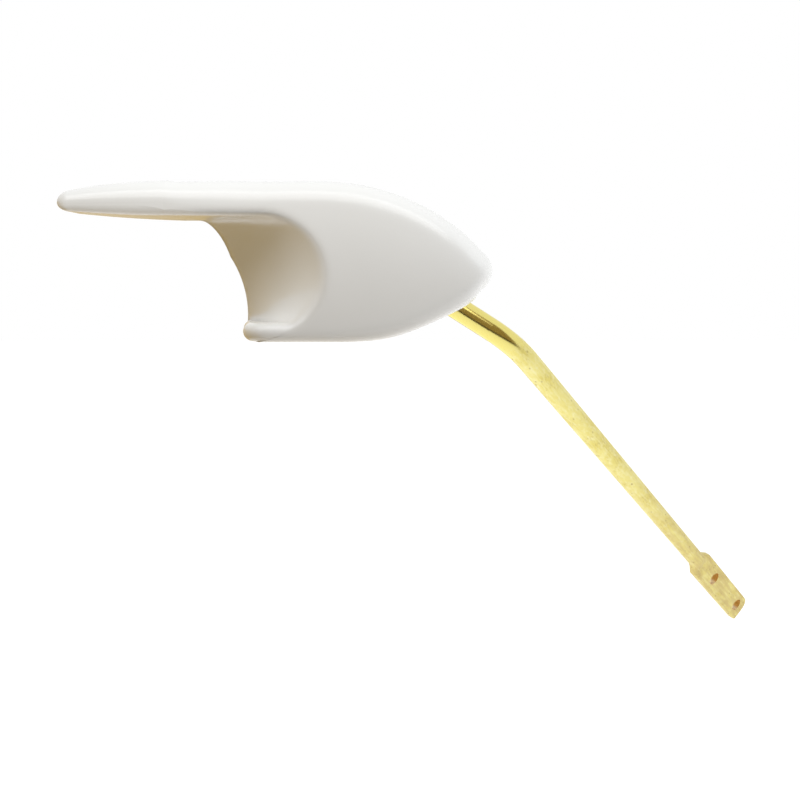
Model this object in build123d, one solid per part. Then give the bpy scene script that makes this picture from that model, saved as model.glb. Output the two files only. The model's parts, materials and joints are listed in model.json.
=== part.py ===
from build123d import *

import os
from math import asin, atan, cos, degrees, radians, sin, sqrt, tan

# Cistern lever, in millimetres. The pivot axis runs along Y. The origin is where that axis
# meets the outer face of the cistern wall, +Y points into the cistern, +Z is up, and the
# paddle reaches towards -X.

# Fixing through the cistern wall
wall_thickness = 9.0
thread_diameter = 14.0
thread_chamfer = 0.8
flange_diameter = 21.5
flange_thickness = 2.9
flange_chamfer = 0.5
seal_thickness = 2.0
seal_chamfer = 0.3
washer_diameter = 24.0
washer_thickness = 1.5
nut_across_flats = 22.0
nut_thickness = 7.0
nut_chamfer = 1.2
bushing_tail = 0.5

# Clearances
running_clearance = 0.06
seat_clearance = 0.03
thread_clearance = 0.05
washer_clearance = 0.2
seal_clearance = 0.1
bearing_clearance = 0.3
stop_clearance = 0.15

# Brass arm
rod_diameter = 6.0
rod_end_chamfer = 0.5
elbow_radius = 8.0
elbow_gap = 0.65
crank_length = 36.1
crank_drop = 32.2
bend_radius = 22.0
arm_length = 202.0
arm_drop = 36.4
arm_inward = 46.4
blade_length = 54.5
blade_width = 9.8
blade_twist = 13.0
blade_thickness = 3.0
blade_shoulder = 5.0
blade_edge_radius = 0.7
blade_corner_radii = (4.2, 1.2)
chain_hole_diameter = 5.0
chain_hole_from_end = 6.6
chain_hole_pitch = 29.3

# Handle body, seen from the front
rim_gap = 1.0
handle_depth = 23.0
handle_wall = 2.2
neck_wall = 2.8
top_z = 17.1
bottom_z = -15.4
top_straight_x = -15.0
bottom_straight_x = -10.0
nose_x = 21.9
nose_z = -1.0
nose_radius = 4.8
nose_end_gap = 0.1
front_radius = 4.6
nose_upper_radius = 5.0
nose_lower_radius = 3.2
front_bulge = 0.6
crown_x = -30.0
crown_drop = 5.0
crown_power = 3

body_steps = 8
cap_steps = 4
cap_share = 0.45
strip_width = 0.01
upper_share = 0.52
lower_share = 0.36
inset_radius = 0.4

# Paddle
paddle_root_x = -46.0
paddle_tip_x = -68.3
paddle_under_z = 10.0
paddle_tip_drop = 2.4
paddle_under_rise = 1.1
paddle_root_depth = 16.0
paddle_tip_depth = 6.4
paddle_tip_setback = 1.4
paddle_tip_round = 2.6
paddle_steps = 4
tip_angles = (25.0, 50.0, 75.0)
tip_tuck = 0.33
paddle_edge_height = 1.8
paddle_hollow_x = -57.0
back_sweep_start_x = -43.5
back_sweep_end_x = -34.7

# Scooped neck under the paddle, from the neck's back edge to the rolled lip at the front face
scoop_start_y = -5.0
scoop_back_x = -33.2
scoop_back_radius = 23.0
scoop_back_level_z = -10.0
scoop_web_radius = 4.0
scoop_throat_x = -16.8
scoop_throat_radius = 11.8
scoop_crease_x = -14.5
scoop_crease_radius = 12.0
scoop_lip = 2.2
scoop_shoulder_angle = 70.0
scoop_end_angle = 58.0
scoop_over = 0.15
scoop_foot_split = 0.25
lip_steps = 4

# Bead along the heel, below the neck
neck_z = -11.6
neck_radius = 0.8
heel_x = -31.8
heel_reach = 0.2
bead_radius = 1.9
bead_left_x = -34.0
bead_turn_y = -6.0
bead_corner_x = -29.5
bead_end_x = -13.0
bead_bend_radius = 4.5
heel_floor_drop = 0.02
bead_sink = 0.12
bead_lift = 0.08

# Boss, ribs and stops inside the handle
boss_diameter = 12.0
rod_seat_floor = 1.6
rib_thickness = 1.8
plain_rib_angles = (195.0, 330.0)
screw_diameter = 4.0
screw_length = 5.0
screw_chamfer = 0.4
screw_socket_flats = 2.0
screw_socket_depth = 2.2
screw_boss_diameter = 8.6
screw_y = -13.0
rod_flat_depth = 0.6
rod_flat_length = 8.0
travel = 30.0
stop_lug_angle = 18.0
stop_lug_height = 4.0

# Places worked out from the sizes above
far = 60.0
front_y = -(rim_gap + handle_depth)
flange_back_y = -seal_thickness
flange_front_y = flange_back_y - flange_thickness
nut_y = wall_thickness + washer_thickness
bushing_end_y = nut_y + nut_thickness + bushing_tail
crank_y = bushing_end_y + elbow_gap + elbow_radius
boss_end_y = flange_front_y - bearing_clearance
rod_start_y = front_y + handle_wall + rod_seat_floor
paddle_back_y = front_y + paddle_root_depth
paddle_root_height = top_z - paddle_under_z
lug_inner_radius = boss_diameter / 2 + bearing_clearance
lug_outer_radius = flange_diameter / 2


def front_plane(y):
    """Plane facing the viewer at depth y, with X to the right and Z up."""
    return Plane.XZ.offset(-y)


def ring(inner_radius, outer_radius, y_start, y_end):
    """Plain ring about the pivot axis."""
    section = Pos((inner_radius + outer_radius) / 2, (y_start + y_end) / 2) * Rectangle(
        outer_radius - inner_radius, y_end - y_start
    )
    return revolve(section, Axis.Y)


def shaft(radius, y_start, y_end):
    """Plain cylinder about the pivot axis."""
    return extrude(front_plane(y_end) * Circle(radius), y_end - y_start)


def body_outline():
    """Leaf outline of the body, seen from the front."""
    nose = (nose_x, nose_z)
    top = Line((paddle_root_x, top_z), (top_straight_x, top_z))
    upper = TangentArc((top_straight_x, top_z), nose, tangent=(1, 0))
    lower = TangentArc((bottom_straight_x, bottom_z), nose, tangent=(1, 0))
    bottom = Line((bottom_straight_x, bottom_z), (paddle_root_x, bottom_z))
    end = Line((paddle_root_x, bottom_z), (paddle_root_x, top_z))
    outline = make_face([top, upper, lower, bottom, end])
    return fillet(outline.vertices().sort_by(Axis.X)[-1], nose_radius)


def front_depth(x, end_x):
    """Depth of the front face at x: flat, then crowned, then rounded off at the nose."""
    crown = crown_drop * max(0, (x - crown_x) / (nose_x - crown_x)) ** crown_power
    past_round = max(0, x - end_x + front_radius)
    return front_y + crown + front_radius - sqrt(front_radius**2 - past_round**2)


def body_section(x, outline, inset, back_y):
    """Section across the body at x, its front bulging between two rounded edges."""
    box = outline.bounding_box()
    strip = (outline & Pos(x, 0) * Rectangle(strip_width, far * 2)).bounding_box()
    z_low = strip.min.Y + inset
    z_top = strip.max.Y - inset
    height = z_top - z_low
    share = max(0, (x - bead_end_x) / (box.max.X - bead_end_x))
    high = front_radius + (nose_upper_radius - front_radius) * share - inset
    low = bead_radius + (nose_lower_radius - bead_radius) * share - inset
    high = min(high, height * upper_share)
    low = min(max(low, inset_radius), height * lower_share)
    y_face = front_depth(x, box.max.X) + inset
    bulge_share = min(1, (x - paddle_root_x) / (heel_x - paddle_root_x))
    flat = height - high - low
    bulge = front_bulge * bulge_share * height / (top_z - bottom_z)
    lean = atan(4 * bulge / flat)
    y_end = y_face + bulge
    upper_end = (y_end, z_top - high * cos(lean))
    lower_end = (y_end, z_low + low * cos(lean))
    top_start = (y_end + high * (1 + sin(lean)), z_top)
    bottom_start = (y_end + low * (1 + sin(lean)), z_low)
    top = Line((back_y, z_top), top_start)
    upper = TangentArc(top_start, upper_end, tangent=(-1, 0))
    front = Bezier(upper_end, (y_face - bulge, (upper_end[1] + lower_end[1]) / 2), lower_end)
    lower = TangentArc(bottom_start, lower_end, tangent=(-1, 0))
    bottom = Line(bottom_start, (back_y, z_low))
    back = Line((back_y, z_low), (back_y, z_top))
    return Plane.YZ.offset(x) * make_face([top, upper, front, lower, bottom, back])


def body_block(inset, back_y):
    """Leaf-shaped block of the body, drawn in by inset. Only the outside has a rounded nose."""
    outline = body_outline()
    tip_x = outline.bounding_box().max.X
    cap_x = tip_x - nose_radius * cap_share - inset
    run = cap_x - paddle_root_x
    sections = []
    for step in range(body_steps + 1):
        x = paddle_root_x + run * step / body_steps
        sections.append(body_section(x, outline, inset, back_y))
    block = loft(sections)
    if inset:
        return block
    cap = [sections[-1]]
    for step in range(1, cap_steps + 1):
        x = cap_x + (tip_x - nose_end_gap - cap_x) * sin(radians(90 * step / cap_steps))
        cap.append(body_section(x, outline, inset, back_y))
    return block + loft(cap)


def on_circle(centre, radius, angle):
    """Point of a circle at an angle, in degrees."""
    return (centre[0] + radius * cos(radians(angle)), centre[1] + radius * sin(radians(angle)))


def neck_section(points, mids):
    """Space under the paddle at one depth, closed by arcs or lines through the neck's points."""
    edge_x = -2 * far
    first = points[0]
    last = points[-1]
    edges = [Line((edge_x, first[1]), first)]
    for start, mid, end in zip(points[:-1], mids, points[1:]):
        edges.append(ThreePointArc(start, mid, end) if mid else Line(start, end))
    edges.append(Line(last, (last[0], -far)))
    edges.append(Line((last[0], -far), (edge_x, -far)))
    edges.append(Line((edge_x, -far), (edge_x, first[1])))
    return make_face(edges)


def back_section(grow):
    """Neck at the back rim: a large arc down to the neck, then the end of the heel."""
    radius = scoop_back_radius + grow
    centre = (scoop_back_x - scoop_back_radius, scoop_back_level_z)
    top_angle = degrees(asin((paddle_under_z + grow - scoop_back_level_z) / radius))
    low_angle = degrees(asin((neck_z - grow - scoop_back_level_z) / radius))
    top = on_circle(centre, radius, top_angle)
    low = on_circle(centre, radius, low_angle)
    heel_mid = (low[0] - heel_reach, (low[1] + bottom_z) / 2)
    mids = [on_circle(centre, radius, (top_angle + low_angle) / 2), heel_mid]
    outline = neck_section([top, low, (heel_x + grow, bottom_z - grow)], mids)
    for corner, corner_radius in ((top, scoop_web_radius), (low, neck_radius)):
        nearest = outline.vertices().sort_by_distance(Vector(*corner))[0]
        outline = fillet(nearest, corner_radius)
    return outline


def front_section(centre, radius, ceiling_z):
    """Scoop near the front: an arc from the underside, then a line down past the heel."""
    angle = degrees(asin(min(1, (ceiling_z - centre[1]) / radius)))
    top = on_circle(centre, radius, angle)
    shoulder = on_circle(centre, radius, scoop_shoulder_angle)
    low = on_circle(centre, radius, -scoop_end_angle)
    fall = low[1] - bottom_z + scoop_lip
    foot = (low[0] - fall * tan(radians(scoop_end_angle)), bottom_z - scoop_lip)
    joint_x = low[0] + (foot[0] - low[0]) * scoop_foot_split
    joint_z = low[1] + (foot[1] - low[1]) * scoop_foot_split
    mids = [on_circle(centre, radius, (angle + scoop_shoulder_angle) / 2)]
    mids.append(on_circle(centre, radius, (scoop_shoulder_angle - scoop_end_angle) / 2))
    points = [top, shoulder, low, (joint_x, joint_z), foot]
    return neck_section(points, [*mids, None, None])


def neck_cut(grow):
    """Space under the paddle: straight at the back rim, flaring to a rolled lip at the front."""
    throat_radius = scoop_throat_radius + grow
    crease_radius = scoop_crease_radius + grow
    throat = (scoop_throat_x - scoop_throat_radius, paddle_under_z - scoop_throat_radius)
    crease = (scoop_crease_x - scoop_crease_radius, paddle_under_z - scoop_crease_radius)
    lip = []
    for step in range(lip_steps + 1):
        share = step / lip_steps
        start = (1 - share) ** 2
        end = share**2
        centre_x = crease[0] + start * (throat[0] - crease[0])
        centre_z = crease[1] + start * (throat[1] - crease[1])
        radius = crease_radius + start * (throat_radius - crease_radius) + end * scoop_lip
        ceiling_z = paddle_under_z + grow + end * paddle_edge_height
        plane = front_plane(front_y - scoop_over + start * (scoop_lip + scoop_over))
        lip.append(plane * front_section((centre_x, centre_z), radius, ceiling_z))
    back = back_section(grow)
    rim = extrude(front_plane(far / 2) * back, far / 2 - scoop_start_y)
    flare = loft([front_plane(scoop_start_y) * back, lip[0]], ruled=True)
    return rim + flare + loft(lip) + extrude(lip[-1], scoop_lip)


def make_heel():
    """Round bead along the heel, from the back rim round into the front, and the floor in it."""
    centre_y = front_y + front_bulge + bead_radius + bead_sink
    centre_z = bottom_z + bead_radius + bead_lift
    start = Vector(bead_left_x + bead_radius, -rim_gap, centre_z)
    turn = Vector(bead_left_x + bead_radius, bead_turn_y, centre_z)
    corner = Vector(bead_corner_x, centre_y, centre_z)
    end = Vector(bead_end_x, centre_y, centre_z)
    path = FilletPolyline(start, turn, corner, end, radius=bead_bend_radius)
    bead = sweep(Plane(start, z_dir=(0, -1, 0)) * Circle(bead_radius), path)
    inner = Vector(bead_end_x, -rim_gap, centre_z)
    floor = make_face([*path.edges(), Line(end, inner), Line(inner, start)])
    return bead + extrude(floor, bead_radius - heel_floor_drop, both=True)


def paddle_section(x, y_front, y_back, z_low, z_top):
    """Section across the paddle, rounded at the front and square at the open back."""
    share = (z_top - z_low) / paddle_root_height
    high = front_radius * share
    low = paddle_edge_height * share
    deep = scoop_lip * share
    top = Line((y_back, z_top), (y_front + high, z_top))
    upper = CenterArc((y_front + high, z_top - high), high, 90, 90)
    front = Line((y_front, z_top - high), (y_front, z_low + low))
    lower = Bezier((y_front, z_low + low), (y_front, z_low), (y_front + deep, z_low))
    bottom = Line((y_front + deep, z_low), (y_back, z_low))
    back = Line((y_back, z_low), (y_back, z_top))
    return Plane.YZ.offset(x) * make_face([top, upper, front, lower, bottom, back])


def paddle_sides(x):
    """Front, back, underside and top of the paddle at x."""
    share = (paddle_root_x - x) / (paddle_root_x - paddle_tip_x)
    y_front = front_y + paddle_tip_setback * share**2
    depth = paddle_root_depth + (paddle_tip_depth - paddle_root_depth) * share
    z_low = paddle_under_z + paddle_under_rise * share**2
    z_top = top_z - paddle_tip_drop * share**2
    return y_front, y_front + depth, z_low, z_top


def make_paddle(root):
    """Paddle lofted from the end face of the body, then closed by its rounded tip."""
    cap_x = paddle_tip_x + paddle_tip_round
    sections = [root]
    for step in range(1, paddle_steps + 1):
        x = paddle_root_x + (cap_x - paddle_root_x) * step / paddle_steps
        sections.append(paddle_section(x, *paddle_sides(x)))
    cap = [sections[-1]]
    for angle in tip_angles:
        x = cap_x - paddle_tip_round * sin(radians(angle))
        y_front, y_back, z_low, z_top = paddle_sides(x)
        round_off = 1 - cos(radians(angle))
        lift = round_off * (z_top - z_low) / 2
        tuck = round_off * (y_back - y_front) * tip_tuck
        cap.append(paddle_section(x, y_front + tuck, y_back - tuck, z_low + lift, z_top - lift))
    return loft(sections) + loft(cap)


def make_back_relief():
    """Space behind the paddle and the neck, swept forward from the rim to the paddle's back."""
    left_x = 2 * paddle_tip_x
    edge = Line((left_x, paddle_back_y), (back_sweep_start_x, paddle_back_y))
    sweep_end = (back_sweep_end_x, -rim_gap)
    curve = TangentArc((back_sweep_start_x, paddle_back_y), sweep_end, tangent=(1, 0))
    right = Line(sweep_end, (back_sweep_end_x, far))
    back = Line((back_sweep_end_x, far), (left_x, far))
    left = Line((left_x, far), (left_x, paddle_back_y))
    return extrude(Plane.XY.offset(-far / 2) * make_face([edge, curve, right, back, left]), far)


def make_outer():
    """Outside of the handle as a filled solid."""
    body = body_block(0, -rim_gap) - neck_cut(0) - make_back_relief()
    ends = body.faces().filter_by(lambda f: abs(f.center().X - paddle_root_x) < 0.01)
    return body + make_paddle(ends[0]) + make_heel()


def make_hollow():
    """Inside of the shell, open at the back rim."""
    body = body_block(handle_wall, far / 2) - neck_cut(neck_wall)
    slot = []
    for x in (paddle_root_x + handle_wall, paddle_hollow_x):
        y_front, y_back, z_low, z_top = paddle_sides(x)
        corner = (y_front + handle_wall, z_low + handle_wall)
        size = (far, z_top - z_low - 2 * handle_wall)
        slot.append(Plane.YZ.offset(x) * Pos(*corner) * Rectangle(*size, align=Align.MIN))
    return body + loft(slot, ruled=True)


def make_ribs():
    """Boss on the pivot axis, its ribs, the two stop ribs and the boss of the set screw."""
    rib_front_y = front_y + handle_wall / 2
    depth = boss_end_y - rib_front_y
    frame = shaft(boss_diameter / 2, rib_front_y, boss_end_y)
    gap = degrees(asin((rib_thickness / 2 + stop_clearance) / lug_inner_radius))
    rest_angle = 90 + stop_lug_angle / 2 + gap
    end_angle = 90 - stop_lug_angle / 2 - gap - travel
    for angle in (rest_angle, end_angle, *plain_rib_angles):
        outline = Rot(0, 0, angle) * Pos(far / 2, 0) * Rectangle(far, rib_thickness)
        frame += extrude(front_plane(boss_end_y) * outline, depth)
    screw_boss = Plane.XY * Pos(0, screw_y) * Circle(screw_boss_diameter / 2)
    return frame + extrude(screw_boss, -far)


def make_handle():
    """Moulded shell with its boss, bored for the rod and for the set screw."""
    outer = make_outer()
    handle = outer - make_hollow() + (make_ribs() & outer)
    handle -= shaft(rod_diameter / 2 + seat_clearance, rod_start_y, far)
    screw_hole = Plane.XY * Pos(0, screw_y) * Circle(screw_diameter / 2 + thread_clearance)
    return handle - extrude(screw_hole, -far)


def make_set_screw():
    """Headless screw with a hexagon socket, its tip on the rod's flat."""
    tip_z = rod_flat_depth - rod_diameter / 2
    place = Plane.XY.offset(tip_z) * Pos(0, screw_y)
    screw = extrude(place * Circle(screw_diameter / 2), -screw_length)
    ends = screw.edges().filter_by(GeomType.CIRCLE)
    screw = chamfer(ends, screw_chamfer)
    socket_radius = screw_socket_flats / 2 / cos(radians(30))
    socket = RegularPolygon(socket_radius, 6)
    bottom = Plane.XY.offset(tip_z - screw_length) * Pos(0, screw_y)
    return screw - extrude(bottom * socket, screw_socket_depth)


def make_bushing():
    """Threaded bushing with a flange and the lug that stops the handle."""
    shank = shaft(thread_diameter / 2, flange_back_y, bushing_end_y)
    shank = chamfer(shank.edges().sort_by(Axis.Y)[-1], thread_chamfer)
    flange = shaft(flange_diameter / 2, flange_front_y, flange_back_y)
    flange = chamfer(flange.edges().sort_by(Axis.Y)[0], flange_chamfer)
    lug_y = flange_front_y - stop_lug_height
    lug_ring = ring(lug_inner_radius, lug_outer_radius, lug_y, flange_front_y + flange_chamfer)
    half = radians(stop_lug_angle / 2)
    side = (far * sin(half), far * cos(half))
    wedge = Polygon((0, 0), side, (-side[0], side[1]), align=None)
    lug = lug_ring & extrude(front_plane(far / 2) * wedge, far)
    bore = shaft(rod_diameter / 2 + running_clearance, -far, far)
    return shank + flange + lug - bore


def make_seal():
    """Soft ring between the flange and the wall."""
    inner = thread_diameter / 2 + seal_clearance
    outer = flange_diameter / 2
    section = Rectangle(outer - inner, seal_thickness)
    section = chamfer(section.vertices(), seal_chamfer)
    return revolve(Pos((inner + outer) / 2, -seal_thickness / 2) * section, Axis.Y)


def make_inner_washer():
    """Flat washer on the inner face of the wall."""
    inner = thread_diameter / 2 + washer_clearance
    return ring(inner, washer_diameter / 2, wall_thickness, nut_y)


def make_lock_nut():
    """Hexagon nut with both faces chamfered."""
    outline = RegularPolygon(nut_across_flats / 2, 6, major_radius=False)
    nut = extrude(front_plane(nut_y + nut_thickness) * outline, nut_thickness)
    corner = nut_across_flats / 2 / cos(radians(30))
    turned = shaft(corner, nut_y, nut_y + nut_thickness)
    turned = chamfer(turned.edges().filter_by(GeomType.CIRCLE), nut_chamfer)
    return (nut & turned) - shaft(thread_diameter / 2 + thread_clearance, -far, far)


def make_arm():
    """Bent rod, flattened at its end into a blade with two holes."""
    crank = Vector(cos(radians(crank_drop)), 0, -sin(radians(crank_drop)))
    level = cos(radians(arm_drop))
    inward = radians(arm_inward)
    along = Vector(level * cos(inward), level * sin(inward), -sin(radians(arm_drop)))
    start = Vector(0, rod_start_y, 0)
    elbow = Vector(0, crank_y, 0)
    bend = elbow + crank * crank_length
    neck = bend + along * (arm_length - blade_length)
    path = FilletPolyline(start, elbow, bend, neck, radius=[elbow_radius, bend_radius])
    rod = sweep(Plane(start, z_dir=(0, 1, 0)) * Circle(rod_diameter / 2), path)
    rod = chamfer(rod.edges().sort_by(Axis.Y)[0], rod_end_chamfer)
    flat_top = Plane.XY.offset(rod_flat_depth - rod_diameter / 2) * Pos(0, screw_y)
    rod -= extrude(flat_top * Rectangle(rod_diameter, rod_flat_length), -rod_diameter)

    level_across = along.cross(Vector(0, 1, 0)).normalized()
    twist = radians(blade_twist)
    across = level_across * cos(twist) + level_across.cross(along) * sin(twist)
    blade_plane = Plane(neck, x_dir=across, z_dir=along)
    round_end = blade_plane * Circle(rod_diameter / 2)
    flat_section = RectangleRounded(blade_width, blade_thickness, blade_edge_radius)
    shoulder = loft([round_end, blade_plane.offset(blade_shoulder) * flat_section])
    plate = extrude(blade_plane.offset(blade_shoulder) * flat_section, blade_length - blade_shoulder)

    face_plane = Plane(neck, x_dir=along, z_dir=across.cross(along))
    outline = Rectangle(blade_length, blade_width, align=(Align.MIN, Align.CENTER))
    end_corners = outline.vertices().group_by(Axis.X)[-1].sort_by(Axis.Y)
    for vertex, radius in zip(end_corners, blade_corner_radii):
        nearest = outline.vertices().sort_by_distance(vertex)[0]
        outline = fillet(nearest, radius)
    arm = rod + shoulder + (plate & extrude(face_plane * outline, blade_thickness, both=True))
    for from_end in (chain_hole_from_end, chain_hole_from_end + chain_hole_pitch):
        hole = face_plane * Pos(blade_length - from_end, 0) * Circle(chain_hole_diameter / 2)
        arm -= extrude(hole, blade_thickness, both=True)
    return arm


def write_parts():
    """One file for each piece."""
    os.makedirs("parts", exist_ok=True)
    export_step(make_handle(), "parts/handle.step")
    export_step(make_set_screw(), "parts/set_screw.step")
    export_step(make_arm(), "parts/arm.step")
    export_step(make_bushing(), "parts/bushing.step")
    export_step(make_seal(), "parts/seal.step")
    export_step(make_inner_washer(), "parts/inner_washer.step")
    export_step(make_lock_nut(), "parts/lock_nut.step")


write_parts()
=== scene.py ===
import json
from math import cos, pi, radians, sin

import bmesh
import bpy
from mathutils import Matrix, Vector

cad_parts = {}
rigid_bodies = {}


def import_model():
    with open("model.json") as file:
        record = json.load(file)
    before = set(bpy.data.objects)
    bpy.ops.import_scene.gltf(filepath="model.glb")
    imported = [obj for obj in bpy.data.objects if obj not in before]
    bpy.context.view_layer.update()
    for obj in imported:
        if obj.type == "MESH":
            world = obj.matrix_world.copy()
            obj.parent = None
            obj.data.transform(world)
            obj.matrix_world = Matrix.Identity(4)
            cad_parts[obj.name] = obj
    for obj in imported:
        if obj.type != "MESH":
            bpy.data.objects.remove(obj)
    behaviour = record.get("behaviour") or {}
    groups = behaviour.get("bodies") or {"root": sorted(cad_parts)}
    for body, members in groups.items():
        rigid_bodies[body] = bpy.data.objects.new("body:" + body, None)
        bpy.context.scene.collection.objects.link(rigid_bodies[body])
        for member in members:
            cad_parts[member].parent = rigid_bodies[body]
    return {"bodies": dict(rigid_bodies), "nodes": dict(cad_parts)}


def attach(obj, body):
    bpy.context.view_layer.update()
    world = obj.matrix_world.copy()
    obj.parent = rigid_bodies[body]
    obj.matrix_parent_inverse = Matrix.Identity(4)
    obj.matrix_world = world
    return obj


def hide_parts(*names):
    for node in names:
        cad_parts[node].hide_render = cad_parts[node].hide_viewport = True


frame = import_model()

MM = 0.001

# Sizes of the pieces are in millimetres. The lever turns about the Y axis, and Y runs into the
# cistern. A pair of places is where a change of finish starts and ends.

# Handle
PADDLE_ROOT = (-48, -36)
HEEL_BOTTOM = (-15.2, -14.4)
LIP_ROLL = 2.8

# Arm: the way it runs after its bend, and places along that way
ARM_ALONG = (0.5551, 0.5829, -0.5934)
ALONG_TURN = (0.0, radians(36.4), radians(46.4))
BEND_END = (41, 49)
TOWARDS_BLADE = (100, 205)

# Chain holes in the arm's blade, their walls painted with shade and with a painted highlight on
# their low side
CHAIN_HOLES = ((139.008, 140.545, -135.191), (122.745, 123.467, -117.804))
HOLE_AXIS = (0.5522543, -0.7917314, -0.2611065)
HOLE_LIT_SIDE = (-0.622, -0.183, -0.761)
HOLE_EDGE = (2.5, 2.56)
HOLE_HIGHLIGHT_SPREAD = (-0.3, 1.2)

# Bushing: radii, and places along the axis
BORE, SLEEVE, FLANGE = 3.06, 7.0, 10.75
FLANGE_FRONT, FLANGE_BACK, SLEEVE_END = -4.9, -2.0, 18.0
FLANGE_CHAMFER, SLEEVE_CHAMFER, SLEEVE_NECK = 0.5, 0.8, 0.3
SLEEVE_PITCH, SLEEVE_DEPTH, SLEEVE_LEAD = 1.5, 0.8, 1.2

# Lug on the flange, which the handle's stops meet. Its start and span are in degrees.
LUG_INNER, LUG_FRONT, LUG_BACK = 6.3, -8.9, -4.4
LUG_START, LUG_SPAN, LUG_STEPS = 81, 18, 6
LUG_EDGE, LUG_EDGE_ANGLE = 0.2, radians(30)

# Lock nut on the bushing's thread: places along the axis, its hole, and its outside
NUT_FRONT, NUT_BACK = 10.5, 17.5
NUT_BORE, NUT_MOUTH, NUT_DEPTH = 7.05, 0.55, 0.55
NUT_FACE, NUT_CORNER, NUT_HALF_FLATS = 11.5, 12.7017, 11.0
NUT_CHAMFER_STEPS = 8

# Set screw: radius, places along its own axis, and where that axis stands in the handle's boss
SCREW, SCREW_CHAMFER = 2.0, 0.4
SCREW_HEAD, SCREW_TIP, SOCKET_FLOOR = -7.4, -2.4, -5.2
SOCKET_CORNER, SOCKET_HALF_FLATS = 1.2, 1.0
SCREW_PITCH, SCREW_DEPTH, SCREW_LEAD = 0.7, 0.38, 0.6
SCREW_PLACE = -13

# Turnings. ROUND is half the width across flats where there are none, wider than any piece, and
# SEAM is how far apart the points of a closed seam may be.
ROUND = 100.0
SEAM = 0.002
SHARP_EDGE = radians(38)
SEGMENTS, SCREW_SEGMENTS = 96, 48
ROWS_PER_PITCH = 16
THREAD_GAP = 0.05

# Brass
PALE_BRASS = (0.86, 0.81, 0.45)
BROWN_BRASS = (0.64, 0.52, 0.21)
DARK_FLECK = (0.3, 0.2, 0.06)
DARK_SCRATCH = (0.4, 0.29, 0.1)
# Painted shade on the chain holes' walls, and the painted highlight on their low side
HOLE_SHADE, HOLE_GLINT = (0.62, 0.34, 0.1), (1.0, 0.9, 0.66)

# Studio, in metres
CAMERA_PLACE, CAMERA_TILT = (0.00078, -0.1946, -0.00304), radians(82)
CAMERA_SENSOR, CAMERA_LENS, CAMERA_NEAR = 36, 37.98, 0.005
BLACK, WHITE = (0.0, 0.0, 0.0), (1.0, 1.0, 1.0)
FLOOR_HEIGHT, FLOOR_REACH = -0.3, 4
FLOOR_PAPER, FLOOR_GLOW, FLOOR_REFLECTION = (0.8, 0.8, 0.8), (0.85, 0.85, 0.85), 0.86
LAMPS = (
    # name, place, aim, size, power, whether it shows in reflections
    ("softbox_above", (-0.025, -0.075, 0.075), (-0.025, -0.02, 0.0), (0.22, 0.06), 0.091, True),
    ("softbox_behind", (-0.2, 0.5, 0.1), (0.0, 0.0, 0.0), (0.7, 0.5), 1.9, False),
)
TAN, BROWN, DARK = (0.62, 0.45, 0.18), (0.3, 0.22, 0.12), (0.08, 0.06, 0.03)
CARDS = (
    # name, colour, corner, side, rise
    ("tan_card_behind", TAN, (-0.7, 0.6, -0.5), (0.75, 0, 0), (0, 0, 0.53)),
    ("tan_card_left", TAN, (-0.3, -0.2, -0.35), (0, 0.8, 0), (0, 0, 0.4)),
    ("brown_card_front", BROWN, (-0.3, -0.3, -0.07), (0.8, 0, 0), (0, 0, 0.5)),
    ("dark_card_front", DARK, (-0.3, -0.3, -0.16), (0.8, 0, 0), (0, 0, 0.09)),
)
DIM_ROOM = (0.02, 0.02, 0.025)
GLOWS = (
    # the side it comes from, how narrow it is, colour
    ((0.8, 0.1, -0.59), 4.0, (2.4, 2.4, 2.4)),
    ((0.64, 0.35, -0.68), 10.0, (2.8, 2.8, 2.8)),
    ((0.72, -0.2, 0.66), 4.0, (1.35, 1.35, 1.35)),
    ((-0.83, -0.45, 0.33), 4.0, (0.5, 0.5, 0.5)),
    ((-0.83, 0.0, -0.56), 3.0, (0.68, 0.45, 0.12)),
)

kept = {*frame["nodes"].values(), *frame["bodies"].values()}
for stray in [o for o in bpy.data.objects if o not in kept]:
    bpy.data.objects.remove(stray)
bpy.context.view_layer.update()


# Node maths

def math_operator(operation):
    """Operator that adds a Math node, and its reflected form."""
    def plain(wire, other):
        return wire.maths(operation, other)

    def reflected(wire, other):
        return wire.node("ShaderNodeMath", {"operation": operation}, {0: other, 1: wire})

    return plain, reflected


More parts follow.
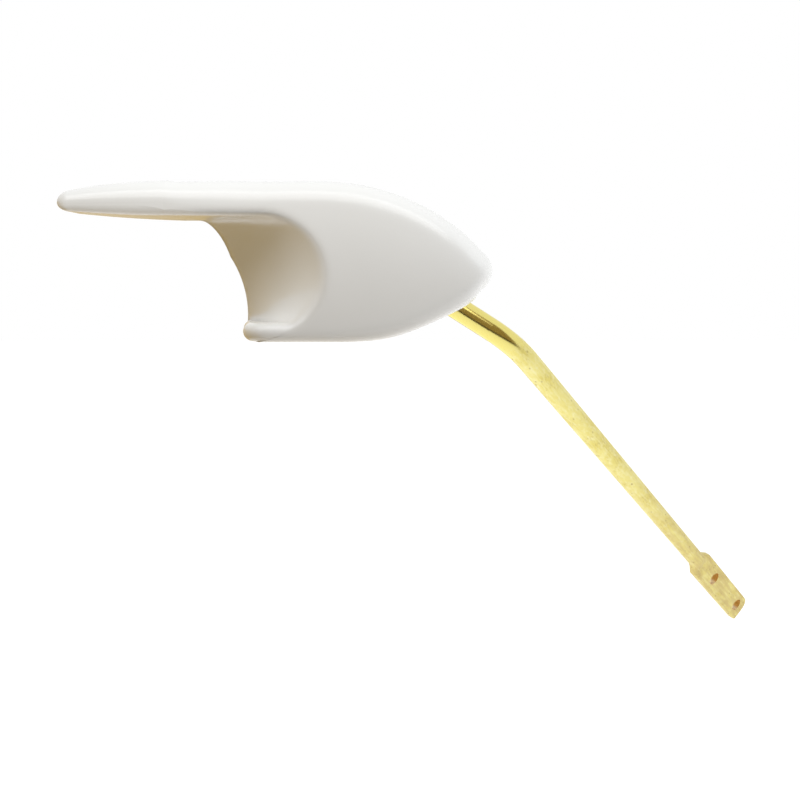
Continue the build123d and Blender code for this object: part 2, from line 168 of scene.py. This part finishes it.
class Wire:
    """An output socket. Operators add Math nodes, and node() adds any other kind."""

    # First socket, second socket and result of a Mix node, for each kind of data
    MIX_SOCKETS = {"RGBA": (6, 7, 2), "VECTOR": (4, 5, 1)}

    def __init__(self, tree, socket=None):
        self.tree = tree
        self.socket = socket

    def node(self, kind, settings=None, inputs=None, output=0):
        """New node, its settings first, then its sockets' values or wires. Gives one output."""
        made = self.tree.nodes.new(kind)
        for name, value in (settings or {}).items():
            setattr(made, name, value)
        for name, value in (inputs or {}).items():
            socket = made.inputs[name]
            if isinstance(value, Wire):
                self.tree.links.new(value.socket, socket)
            elif socket.type == "RGBA":
                socket.default_value = (*value, 1.0)
            else:
                socket.default_value = value
        return Wire(self.tree, made.outputs[output] if made.outputs else None)

    def other(self, output):
        """Another output of the same node."""
        return Wire(self.tree, self.socket.node.outputs[output])

    __add__, __radd__ = math_operator("ADD")
    __sub__, __rsub__ = math_operator("SUBTRACT")
    __mul__, __rmul__ = math_operator("MULTIPLY")
    __truediv__, __rtruediv__ = math_operator("DIVIDE")

    def maths(self, operation, *others):
        """Math node on this value and the others."""
        inputs = dict(enumerate((self, *others)))
        return self.node("ShaderNodeMath", {"operation": operation}, inputs)

    def vectors(self, operation, *others, output="Vector"):
        """Vector Math node on this vector and the others."""
        inputs = dict(enumerate((self, *others)))
        return self.node("ShaderNodeVectorMath", {"operation": operation}, inputs, output)

    def along(self, way):
        """How far this vector reaches along a way of length 1."""
        return self.vectors("DOT_PRODUCT", way, output="Value")

    def part(self, axis):
        return self.node("ShaderNodeSeparateXYZ", None, {"Vector": self}, axis)

    def stretched(self, turn, length):
        """Place in a frame that is turned so, and drawn out along its X axis."""
        inputs = {"Vector": self, "Rotation": turn, "Scale": (length, 1.0, 1.0)}
        return self.node("ShaderNodeMapping", {"vector_type": "TEXTURE"}, inputs)

    def noise(self, size, detail=2.0, roughness=0.5):
        """Noise whose blotches are about size across, in the unit of this vector."""
        inputs = {"Vector": self, "Scale": 1 / size, "Detail": detail, "Roughness": roughness}
        return self.node("ShaderNodeTexNoise", None, inputs, "Fac")

    def cells(self, size):
        """Distance to the nearest of scattered points, about size apart, in that size."""
        inputs = {"Vector": self, "Scale": 1 / size}
        return self.node("ShaderNodeTexVoronoi", None, inputs, "Distance")

    def over(self, low, high):
        """0 below low, 1 above high, with a smooth change between."""
        inputs = {"Value": self, "From Min": low, "From Max": high}
        return self.node("ShaderNodeMapRange", {"interpolation_type": "SMOOTHSTEP"}, inputs)

    def mixed(self, first, second, kind="RGBA"):
        """Goes from first to second as this value goes from 0 to 1."""
        low, high, result = self.MIX_SOCKETS[kind]
        inputs = {"Factor": self, low: first, high: second}
        return self.node("ShaderNodeMix", {"data_type": kind}, inputs, result)

    def bumped(self, height, strength, normal=None):
        """Normal from this value, which stands for that height in millimetres."""
        inputs = {"Height": self, "Distance": height * MM, "Strength": strength}
        if normal:
            inputs["Normal"] = normal
        return self.node("ShaderNodeBump", None, inputs)


def emptied_tree(owner):
    """The node tree of a material or world, with nothing in it yet."""
    owner.use_nodes = True
    owner.node_tree.nodes.clear()
    return Wire(owner.node_tree)


# Finishes

def start_finish(name):
    """New material, and the place on the piece in millimetres."""
    material = bpy.data.materials.new(name)
    place = emptied_tree(material).node("ShaderNodeTexCoord", output="Object")
    inputs = {"Vector": place, "Scale": (1 / MM,) * 3}
    return material, place.node("ShaderNodeMapping", None, inputs)


def end_finish(place, sockets):
    surface = place.node("ShaderNodeBsdfPrincipled", None, sockets)
    surface.node("ShaderNodeOutputMaterial", None, {"Surface": surface})


def glossy_white():
    """Glossy white plastic of the handle, its edges softly rolled round the scoop."""
    material, place = start_finish("glossy_white_moulding")
    cloud = place.noise(size=22, detail=3)
    peel = place.noise(size=1.4)
    haze = place.noise(size=5, detail=4)
    dust = (1 - place.cells(size=3.1).over(0.02, 0.05)) * haze.over(0.52, 0.62)
    colour = cloud.mixed((0.852, 0.856, 0.838), (0.892, 0.896, 0.883))
    colour = (0.25 * dust).mixed(colour, (0.45, 0.41, 0.34))
    rough = 0.13 + 0.07 * haze + 0.3 * dust

    body = place.part("X").over(*PADDLE_ROOT) * place.part("Z").over(*HEEL_BOTTOM)
    plain = place.node("ShaderNodeNewGeometry", output="Normal")
    rolled = place.node("ShaderNodeBevel", {"samples": 12}, {"Radius": LIP_ROLL * MM})
    normal = peel.bumped(0.03, 0.25, body.mixed(plain, rolled, "VECTOR"))
    end_finish(place, {"Base Color": colour, "Roughness": rough, "Normal": normal, "IOR": 1.52})
    return material


def chain_hole(place, middle):
    """The wall of a hole in the blade, painted as in shade, and its low side, where a painted
    highlight goes.
    """
    offset = place.vectors("SUBTRACT", middle)
    reach = offset.vectors("CROSS_PRODUCT", HOLE_AXIS).vectors("LENGTH", output="Value")
    wall = 1 - reach.over(*HOLE_EDGE)
    return wall, wall * offset.along(HOLE_LIT_SIDE).over(*HOLE_HIGHLIGHT_SPREAD)


def drawn_brass():
    """Polished at the crank, then dull, blotched and scratched along the arm, with painted shade
    and a painted highlight in the chain holes.
    """
    material, place = start_finish("drawn_brass")
    along = place.along(ARM_ALONG)
    dull = along.over(*BEND_END)
    blade = along.over(*TOWARDS_BLADE)
    drawn = place.stretched(ALONG_TURN, 9.0)
    worn = place.stretched(ALONG_TURN, 1.8)
    blotch = worn.noise(size=5.5, detail=4, roughness=0.6)
    mottle = worn.noise(size=1.3, detail=4, roughness=0.65)
    streak = drawn.noise(size=0.5, detail=3)
    fine = drawn.noise(size=0.16)
    fleck = (1 - worn.cells(size=1.9).over(0.08, 0.18)) * mottle.over(0.44, 0.6)
    scratch = 1 - (streak - 0.5).maths("ABSOLUTE").over(0.006, 0.02)
    scratch = scratch * blotch.over(0.46, 0.6)

    polished = streak.mixed((0.82, 0.73, 0.25), (0.78, 0.67, 0.19))
    tarnished = blotch.over(0.38, 0.66).mixed((0.8, 0.72, 0.27), (0.75, 0.65, 0.19))
    rubbed = 0.5 * mottle.over(0.46, 0.66) + 0.35 * streak.over(0.5, 0.64)
    tarnished = rubbed.mixed(tarnished, PALE_BRASS)
    rolled = 0.4 * blotch.over(0.25, 0.6) + 0.6 * drawn.noise(size=1.3).over(0.36, 0.6)
    tarnished = (blade * rolled).mixed(tarnished, BROWN_BRASS)
    colour = dull.mixed(polished, tarnished)
    colour = (0.7 * dull * fleck).mixed(colour, DARK_FLECK)
    colour = (0.5 * dull * scratch).mixed(colour, DARK_SCRATCH)
    # The chain holes' walls get painted shade, with a painted highlight on their low side
    walls, glints = zip(*[chain_hole(place, middle) for middle in CHAIN_HOLES])
    painted_bore = (glints[0] + glints[1]).mixed(HOLE_SHADE, HOLE_GLINT)
    colour = (0.85 * (walls[0] + walls[1])).mixed(colour, painted_bore)

    rough = 0.14 + 0.08 * fine + 0.08 * blade
    rough = rough + dull * (0.2 + 0.16 * blotch + 0.14 * fleck)
    dents = (1 - 0.75 * blade) * mottle + 0.5 * streak
    normal = (dull * dents + 0.15 * fine).bumped(0.05, 0.55)
    sockets = {"Base Color": colour, "Metallic": 1.0, "Roughness": rough, "Normal": normal}
    end_finish(place, sockets)
    return material


def black_rubber():
    material, place = start_finish("black_rubber")
    grain = place.noise(size=0.25, detail=3)
    bloom = place.noise(size=4, detail=3)
    colour = bloom.mixed((0.018, 0.018, 0.019), (0.05, 0.049, 0.047))
    normal = grain.bumped(0.06, 0.6)
    end_finish(place, {"Base Color": colour, "Roughness": 0.55 + 0.25 * grain, "Normal": normal})
    return material


def moulded_nylon():
    material, place = start_finish("moulded_nylon")
    cloud = place.noise(size=6, detail=3)
    grain = place.noise(size=0.3, detail=3)
    colour = cloud.mixed((0.7, 0.68, 0.6), (0.8, 0.785, 0.72))
    normal = grain.bumped(0.04, 0.4)
    end_finish(place, {"Base Color": colour, "Roughness": 0.38 + 0.2 * grain, "Normal": normal})
    return material


def plated_steel():
    material, place = start_finish("plated_steel")
    stain = place.noise(size=1.2, detail=4)
    colour = stain.mixed((0.4, 0.4, 0.41), (0.6, 0.6, 0.59))
    end_finish(place, {"Base Color": colour, "Metallic": 1.0, "Roughness": 0.25 + 0.2 * stain})
    return material


# Threaded pieces

def threaded_turning():
    """Geometry Nodes tree that turns a profile about the Y axis and cuts a thread into it.

    The profile is a row of points (radius, place along the axis). Its thread attribute says how
    deep the thread is cut at each point, and its flats attribute is half the width across flats.
    """
    tree = bpy.data.node_groups.new("threaded_turning", "GeometryNodeTree")
    tree.interface.new_socket("Geometry", in_out="OUTPUT", socket_type="NodeSocketGeometry")
    kinds = {
        "Geometry": "NodeSocketGeometry",
        "Segments": "NodeSocketInt",
        "Pitch": "NodeSocketFloat",
        "Unit": "NodeSocketFloat",
        "Material": "NodeSocketMaterial",
    }
    for name, kind in kinds.items():
        tree.interface.new_socket(name, in_out="INPUT", socket_type=kind)
    start = Wire(tree).node("NodeGroupInput")
    profile, segments, pitch, unit, finish = [start.other(name) for name in kinds]

    rows = profile.node(
        "GeometryNodeAttributeDomainSize", None, {"Geometry": profile}, "Point Count")
    size = {"Size X": 1.0, "Size Y": 1.0, "Vertices X": segments + 1, "Vertices Y": rows}
    grid = rows.node("GeometryNodeMeshGrid", None, size, "Mesh")
    place = grid.node("GeometryNodeInputPosition")
    turn = place.part("X") + 0.5
    row = ((place.part("Y") + 0.5) * (rows - 1)).maths("ROUND")

    def sampled(value, kind):
        inputs = {"Geometry": profile, "Value": value, "Index": row}
        return row.node("GeometryNodeSampleIndex", {"data_type": kind}, inputs)

    def attribute(name):
        settings = {"data_type": "FLOAT"}
        value = row.node("GeometryNodeInputNamedAttribute", settings, {"Name": name})
        return sampled(value, "FLOAT")

    point = sampled(place, "FLOAT_VECTOR")
    radius, along = point.part("X"), point.part("Y")
    angle = turn * (2 * pi)
    from_flat = angle.maths("FLOORED_MODULO", pi / 3) - pi / 6
    radius = radius.maths("MINIMUM", attribute("flats") / from_flat.maths("COSINE"))
    phase = (along / pitch - turn) * (2 * pi)
    radius = radius - attribute("thread") * (0.5 - 0.5 * phase.maths("COSINE"))
    across, up = radius * angle.maths("COSINE"), radius * angle.maths("SINE")
    spot = {"X": across * unit, "Y": along * unit, "Z": up * unit}
    spot = radius.node("ShaderNodeCombineXYZ", None, spot)

    turned = grid.node("GeometryNodeSetPosition", None, {"Geometry": grid, "Position": spot})
    seam = {"Geometry": turned, "Distance": SEAM * unit}
    closed = turned.node("GeometryNodeMergeByDistance", None, seam)
    whole = closed.node("GeometryNodeRealizeInstances", None, {"Geometry": closed})
    done = whole.node("GeometryNodeSetMaterial", None, {"Geometry": whole, "Material": finish})
    done.node("NodeGroupOutput", None, {"Geometry": done})
    return tree


THREADED_TURNING = threaded_turning()


def plain_rows(*corners, flats=ROUND, steps=1):
    """Profile rows from corner to corner, with no thread."""
    rows = []
    for first, second in zip(corners[:-1], corners[1:]):
        for step in range(steps):
            share = step / steps
            radius, along = [p + (q - p) * share for p, q in zip(first, second)]
            rows.append((radius, along, 0.0, flats))
    return [*rows, (*corners[-1], 0.0, flats)]


def thread_rows(radius, first, last, pitch, depth, lead):
    """Profile rows of a thread that runs out over lead at both its ends."""
    count = round(abs(last - first) / pitch * ROWS_PER_PITCH)
    rows = []
    for step in range(count + 1):
        along = first + (last - first) * step / count
        fade = min(1.0, abs(along - first) / lead, abs(along - last) / lead)
        rows.append((radius, along, depth * fade, ROUND))
    return rows


def turned_piece(name, rows, segments, pitch, finish, lug=None, to_axis=None):
    """Threaded piece from its profile, as a plain mesh with its place in it."""
    profile = bpy.data.meshes.new(name + "_profile")
    profile.from_pydata([(radius, along, 0) for radius, along, _, _ in rows], [], [])
    for column, attribute in ((2, "thread"), (3, "flats")):
        values = profile.attributes.new(attribute, "FLOAT", "POINT").data
        values.foreach_set("value", [row[column] for row in rows])
    piece = bpy.data.objects.new(name, profile)
    bpy.context.scene.collection.objects.link(piece)
    turning = piece.modifiers.new("threaded_turning", "NODES")
    turning.node_group = THREADED_TURNING
    inputs = {"Segments": segments, "Pitch": pitch, "Unit": MM, "Material": finish}
    for socket in THREADED_TURNING.interface.items_tree:
        if socket.in_out == "INPUT" and socket.name in inputs:
            turning[socket.identifier] = inputs[socket.name]
    graph = bpy.context.evaluated_depsgraph_get()
    mesh = bpy.data.meshes.new_from_object(piece.evaluated_get(graph), depsgraph=graph)
    piece.modifiers.remove(turning)

    if to_axis:
        mesh.transform(to_axis)
    shape = bmesh.new()
    shape.from_mesh(mesh)
    if lug:
        shape.from_mesh(lug)
    bmesh.ops.recalc_face_normals(shape, faces=shape.faces)
    shape.to_mesh(mesh)
    shape.free()
    mesh.polygons.foreach_set("use_smooth", [True] * len(mesh.polygons))
    mesh.set_sharp_from_angle(angle=SHARP_EDGE)
    piece.data = mesh
    mesh.name = name
    return piece


def stop_lug():
    """Lug on the flange, a short arc of square section with rounded edges."""
    front = [(LUG_INNER, LUG_FRONT), (FLANGE, LUG_FRONT)]
    back = [(FLANGE, LUG_BACK), (LUG_INNER, LUG_BACK)]
    section = front + back
    sides = len(section)
    points = []
    for step in range(LUG_STEPS + 1):
        angle = radians(LUG_START + LUG_SPAN * step / LUG_STEPS)
        for radius, along in section:
            points.append((radius * cos(angle) * MM, along * MM, radius * sin(angle) * MM))
    last = sides * LUG_STEPS
    faces = [tuple(range(sides)), tuple(last + side for side in reversed(range(sides)))]
    for start in range(0, last, sides):
        for side in range(sides):
            low, high = start + side, start + (side + 1) % sides
            faces.append((low, low + sides, high + sides, high))
    lug = bpy.data.meshes.new("stop_lug")
    lug.from_pydata(points, [], faces)

    shape = bmesh.new()
    shape.from_mesh(lug)
    bmesh.ops.recalc_face_normals(shape, faces=shape.faces)
    edges = [edge for edge in shape.edges if edge.calc_face_angle() > LUG_EDGE_ANGLE]
    bmesh.ops.bevel(
        shape, geom=edges, offset=LUG_EDGE * MM, segments=2, profile=0.5, affect="EDGES")
    shape.to_mesh(lug)
    shape.free()
    return lug


def threaded_bushing(finish):
    rows = plain_rows(
        (BORE, FLANGE_FRONT),
        (FLANGE - FLANGE_CHAMFER, FLANGE_FRONT),
        (FLANGE, FLANGE_FRONT + FLANGE_CHAMFER),
        (FLANGE, FLANGE_BACK),
        (SLEEVE, FLANGE_BACK))
    rows += thread_rows(
        SLEEVE, FLANGE_BACK + SLEEVE_NECK, SLEEVE_END - SLEEVE_CHAMFER,
        SLEEVE_PITCH, SLEEVE_DEPTH, SLEEVE_LEAD)
    rows += plain_rows(
        (SLEEVE - SLEEVE_CHAMFER, SLEEVE_END),
        (BORE, SLEEVE_END),
        (BORE, FLANGE_FRONT))
    return turned_piece("threaded_bushing", rows, SEGMENTS, SLEEVE_PITCH, finish, lug=stop_lug())


def lock_nut(finish):
    mouth, chamfer = NUT_BORE + NUT_MOUTH, NUT_CORNER - NUT_FACE
    thread_front, thread_back = NUT_FRONT + NUT_MOUTH, NUT_BACK - NUT_MOUTH
    hexagon = {"flats": NUT_HALF_FLATS, "steps": NUT_CHAMFER_STEPS}
    rows = plain_rows((mouth, NUT_FRONT), (NUT_BORE, thread_front))
    rows += thread_rows(
        NUT_BORE, thread_front + THREAD_GAP, thread_back - THREAD_GAP,
        SLEEVE_PITCH, -NUT_DEPTH, SLEEVE_LEAD)
    rows += plain_rows((NUT_BORE, thread_back), (mouth, NUT_BACK))
    rows += plain_rows((NUT_FACE, NUT_BACK), (NUT_CORNER, NUT_BACK - chamfer), **hexagon)
    rows += plain_rows((NUT_CORNER, NUT_FRONT + chamfer), (NUT_FACE, NUT_FRONT), **hexagon)
    rows += plain_rows((mouth, NUT_FRONT))
    return turned_piece("hexagon_lock_nut", rows, SEGMENTS, SLEEVE_PITCH, finish)


def set_screw(finish):
    end = SCREW - SCREW_CHAMFER
    thread_head, thread_tip = SCREW_HEAD + SCREW_CHAMFER, SCREW_TIP - SCREW_CHAMFER
    socket = ((SOCKET_CORNER, SOCKET_FLOOR), (SOCKET_CORNER, SCREW_HEAD))
    rows = plain_rows((0.0, SOCKET_FLOOR)) + plain_rows(*socket, flats=SOCKET_HALF_FLATS)
    rows += plain_rows((end, SCREW_HEAD), (SCREW, thread_head))
    rows += thread_rows(
        SCREW, thread_head + THREAD_GAP, thread_tip - THREAD_GAP,
        SCREW_PITCH, SCREW_DEPTH, SCREW_LEAD)
    rows += plain_rows((SCREW, thread_tip), (end, SCREW_TIP), (0.0, SCREW_TIP))
    upright = Matrix.Rotation(radians(90), 4, "X")
    to_axis = Matrix.Translation((0, SCREW_PLACE * MM, 0)) @ upright
    return turned_piece(
        "socket_set_screw", rows, SCREW_SEGMENTS, SCREW_PITCH, finish, to_axis=to_axis)


# Studio

def photo_camera():
    camera = bpy.data.objects.new("camera", bpy.data.cameras.new("camera"))
    bpy.context.scene.collection.objects.link(camera)
    camera.location = CAMERA_PLACE
    camera.rotation_euler = (CAMERA_TILT, 0, 0)
    camera.data.sensor_width = CAMERA_SENSOR
    camera.data.lens = CAMERA_LENS
    camera.data.clip_start = CAMERA_NEAR
    return camera


def seen_ray(tree, reflection=1.0):
    """1 for a ray from the camera, and that share for one in a reflection or through glass."""
    camera = tree.node("ShaderNodeLightPath", output="Is Camera Ray")
    others = camera.other("Is Glossy Ray") + camera.other("Is Transmission Ray")
    return (camera + reflection * others).maths("MINIMUM", 1.0)


def room_light():
    """White to the camera and in reflections, and soft glows from a few sides otherwise."""
    world = bpy.data.worlds.new("studio")
    world.cycles.sampling_method = "NONE"
    tree = emptied_tree(world)
    seen = seen_ray(tree)
    way = tree.node("ShaderNodeTexCoord", output="Object")
    light = DIM_ROOM
    for source, narrow, colour in GLOWS:
        glow = way.along(source).maths("MAXIMUM", 0.0).maths("POWER", narrow)
        light = glow.mixed(light, colour)
    sky = tree.node("ShaderNodeBackground", None, {"Color": seen.mixed(light, WHITE)})
    sky.node("ShaderNodeOutputWorld", None, {"Surface": sky})
    return world


def plain_sheet(name, corner, side, rise):
    """Flat sheet from a corner and two of its edges, and its node tree with nothing in it yet.

    It neither lights nor shades the object.
    """
    corner, side, rise = Vector(corner), Vector(side), Vector(rise)
    corners = [corner, corner + side, corner + side + rise, corner + rise]
    mesh = bpy.data.meshes.new(name)
    mesh.from_pydata(corners, [], [(0, 1, 2, 3)])
    sheet = bpy.data.objects.new(name, mesh)
    bpy.context.scene.collection.objects.link(sheet)
    sheet.visible_diffuse = False
    sheet.visible_shadow = False
    material = bpy.data.materials.new(name)
    material.cycles.emission_sampling = "NONE"
    mesh.materials.append(material)
    return sheet, emptied_tree(material)


def white_floor():
    """Pale floor, white to the camera apart from the shadow, and open to a view from below."""
    corner, length = (-FLOOR_REACH, -FLOOR_REACH, FLOOR_HEIGHT), 2 * FLOOR_REACH
    _, tree = plain_sheet("floor", corner, (length, 0, 0), (0, length, 0))
    seen = seen_ray(tree, FLOOR_REFLECTION)
    paper = tree.node("ShaderNodeBsdfDiffuse", None, {"Color": FLOOR_PAPER})
    glow = tree.node("ShaderNodeEmission", None, {"Color": seen.mixed(BLACK, FLOOR_GLOW)})
    both = tree.node("ShaderNodeAddShader", None, {0: paper, 1: glow})
    below = tree.node("ShaderNodeNewGeometry", output="Backfacing")
    clear = tree.node("ShaderNodeBsdfTransparent")
    surface = tree.node("ShaderNodeMixShader", None, {0: below, 1: both, 2: clear})
    tree.node("ShaderNodeOutputMaterial", None, {"Surface": surface})


def glowing_card(name, colour, corner, side, rise):
    """Card beside the object that shows in its reflections, not to the camera."""
    card, tree = plain_sheet(name, corner, side, rise)
    card.visible_camera = False
    glow = tree.node("ShaderNodeEmission", None, {"Color": colour})
    tree.node("ShaderNodeOutputMaterial", None, {"Surface": glow})


def soft_lamp(name, place, aim, size, power, glossy):
    light = bpy.data.lights.new(name, "AREA")
    light.shape = "RECTANGLE"
    light.size, light.size_y = size
    light.energy = power
    lamp = bpy.data.objects.new(name, light)
    bpy.context.scene.collection.objects.link(lamp)
    lamp.location = place
    lamp.rotation_euler = (Vector(aim) - Vector(place)).to_track_quat("-Z", "Y").to_euler()
    lamp.visible_camera = False
    lamp.visible_glossy = glossy


def studio():
    scene = bpy.context.scene
    scene.view_settings.view_transform = "Standard"
    scene.camera = photo_camera()
    scene.world = room_light()
    white_floor()
    for lamp in LAMPS:
        soft_lamp(*lamp)
    for card in CARDS:
        glowing_card(*card)


studio()
nylon = moulded_nylon()
steel = plated_steel()
finishes = {
    "handle": glossy_white(),
    "arm": drawn_brass(),
    "seal": black_rubber(),
    "inner_washer": nylon,
}
for name, finish in finishes.items():
    node = frame["nodes"][name]
    node.data.materials.clear()
    node.data.materials.append(finish)

fitted = (
    (threaded_bushing(nylon), "fixing", "bushing", "nylon"),
    (lock_nut(nylon), "fixing", "lock_nut", "nylon_nut"),
    (set_screw(steel), "lever", "set_screw", "steel"),
)
for piece, body, node_name, slot in fitted:
    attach(piece, body)
    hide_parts(node_name)
